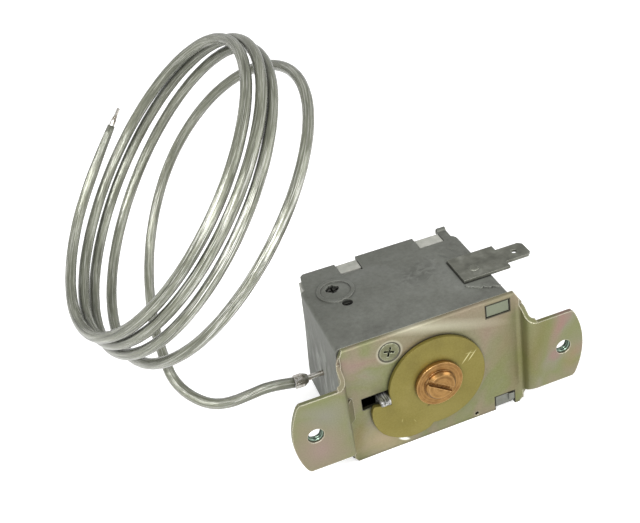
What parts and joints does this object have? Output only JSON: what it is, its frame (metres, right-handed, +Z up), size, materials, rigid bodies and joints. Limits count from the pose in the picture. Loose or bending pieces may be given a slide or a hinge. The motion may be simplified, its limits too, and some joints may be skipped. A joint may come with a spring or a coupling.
{
  "type": "capillary thermostat",
  "caption": "Refrigerator thermostat with a two-eared mounting plate, range spindle with stop disc, folded case with earth tab, and a coiled capillary tube.",
  "frame": {"origin": "midway between the two ear holes, on the front face of the ears", "axes": "+X to the right along the line of the ear holes, +Y back into the case, +Z up"},
  "size_m": [0.1248, 0.0912, 0.105],
  "materials": {
    "yellow_zinc": "yellow passivated zinc on steel sheet, satin",
    "galvanised": "grey galvanised steel sheet, dull",
    "stop_brass": "olive yellow brass sheet, dull",
    "copper_spindle": "copper coloured turned spindle, bright",
    "insulator": "off-white moulded insulator, matt",
    "plain_steel": "plain grey steel, satin",
    "tinned": "tinned metal, bright",
    "inner_brass": "drawn brass, satin",
    "sleeve": "thin grey plastic sleeve over the capillary, glossy with streaks",
    "contact_metal": "contact metal, bright"
  },
  "bodies": {
    "housing": {"mounting_plate": "yellow_zinc", "spindle_bush": "plain_steel", "stop_pin": "galvanised", "nut_guide": "plain_steel", "case": "galvanised", "switch_base": "insulator", "line_terminal": "tinned", "load_terminal": "tinned", "fixed_contact": "contact_metal", "lever_pin": "plain_steel", "bellows_cup": "inner_brass", "bellows": "inner_brass", "trim_plate": "plain_steel", "range_trim_screw": "plain_steel", "differential_screw": "plain_steel", "face_screw": "yellow_zinc", "earth_terminal": "plain_steel", "earth_rivet": "plain_steel", "capillary_entry": "tinned", "capillary_ferrule": "tinned", "capillary_sleeve": "sleeve", "capillary_tip": "tinned"},
    "dial": {"range_spindle": "copper_spindle", "stop_disc": "stop_brass", "spindle_clip": "plain_steel"},
    "nut": {"range_nut": "inner_brass", "range_spring": "plain_steel"},
    "lever": {"main_lever": "plain_steel", "thrust_button": "plain_steel"},
    "plunger": {"switch_plunger": "insulator"},
    "blade": {"contact_blade": "inner_brass", "moving_contact": "contact_metal"}
  },
  "joints": [
    {"name": "spindle_turn", "type": "hinge", "parent": "housing", "child": "dial", "pos_m": [0, 0.0039, 0], "axis": [0, -1, 0], "range_deg": [0, 270]},
    {"name": "nut_travel", "type": "slide", "parent": "housing", "child": "nut", "axis": [0, 1, 0], "range_m": [0, 0.0018], "deforming": ["range_spring"]},
    {"name": "lever_rock", "type": "hinge", "parent": "housing", "child": "lever", "pos_m": [-0.01, 0.033, 0], "axis": [0, 0, 1], "range_deg": [-1, 1.5]},
    {"name": "plunger_travel", "type": "slide", "parent": "housing", "child": "plunger", "axis": [0, 1, 0], "range_m": [-0.00044, 0.00065]},
    {"name": "blade_bend", "type": "hinge", "parent": "housing", "child": "blade", "pos_m": [-0.00015, 0.03385, 0], "axis": [0, 0, 1], "range_deg": [-1.67, 2.5]}
  ],
  "couplings": [
    {"joint": "spindle_turn", "follows": "nut_travel", "rad_per_m": 2618},
    {"joint": "lever_rock", "follows": "plunger_travel", "rad_per_m": 40},
    {"joint": "blade_bend", "follows": "plunger_travel", "rad_per_m": 66.007}
  ]
}
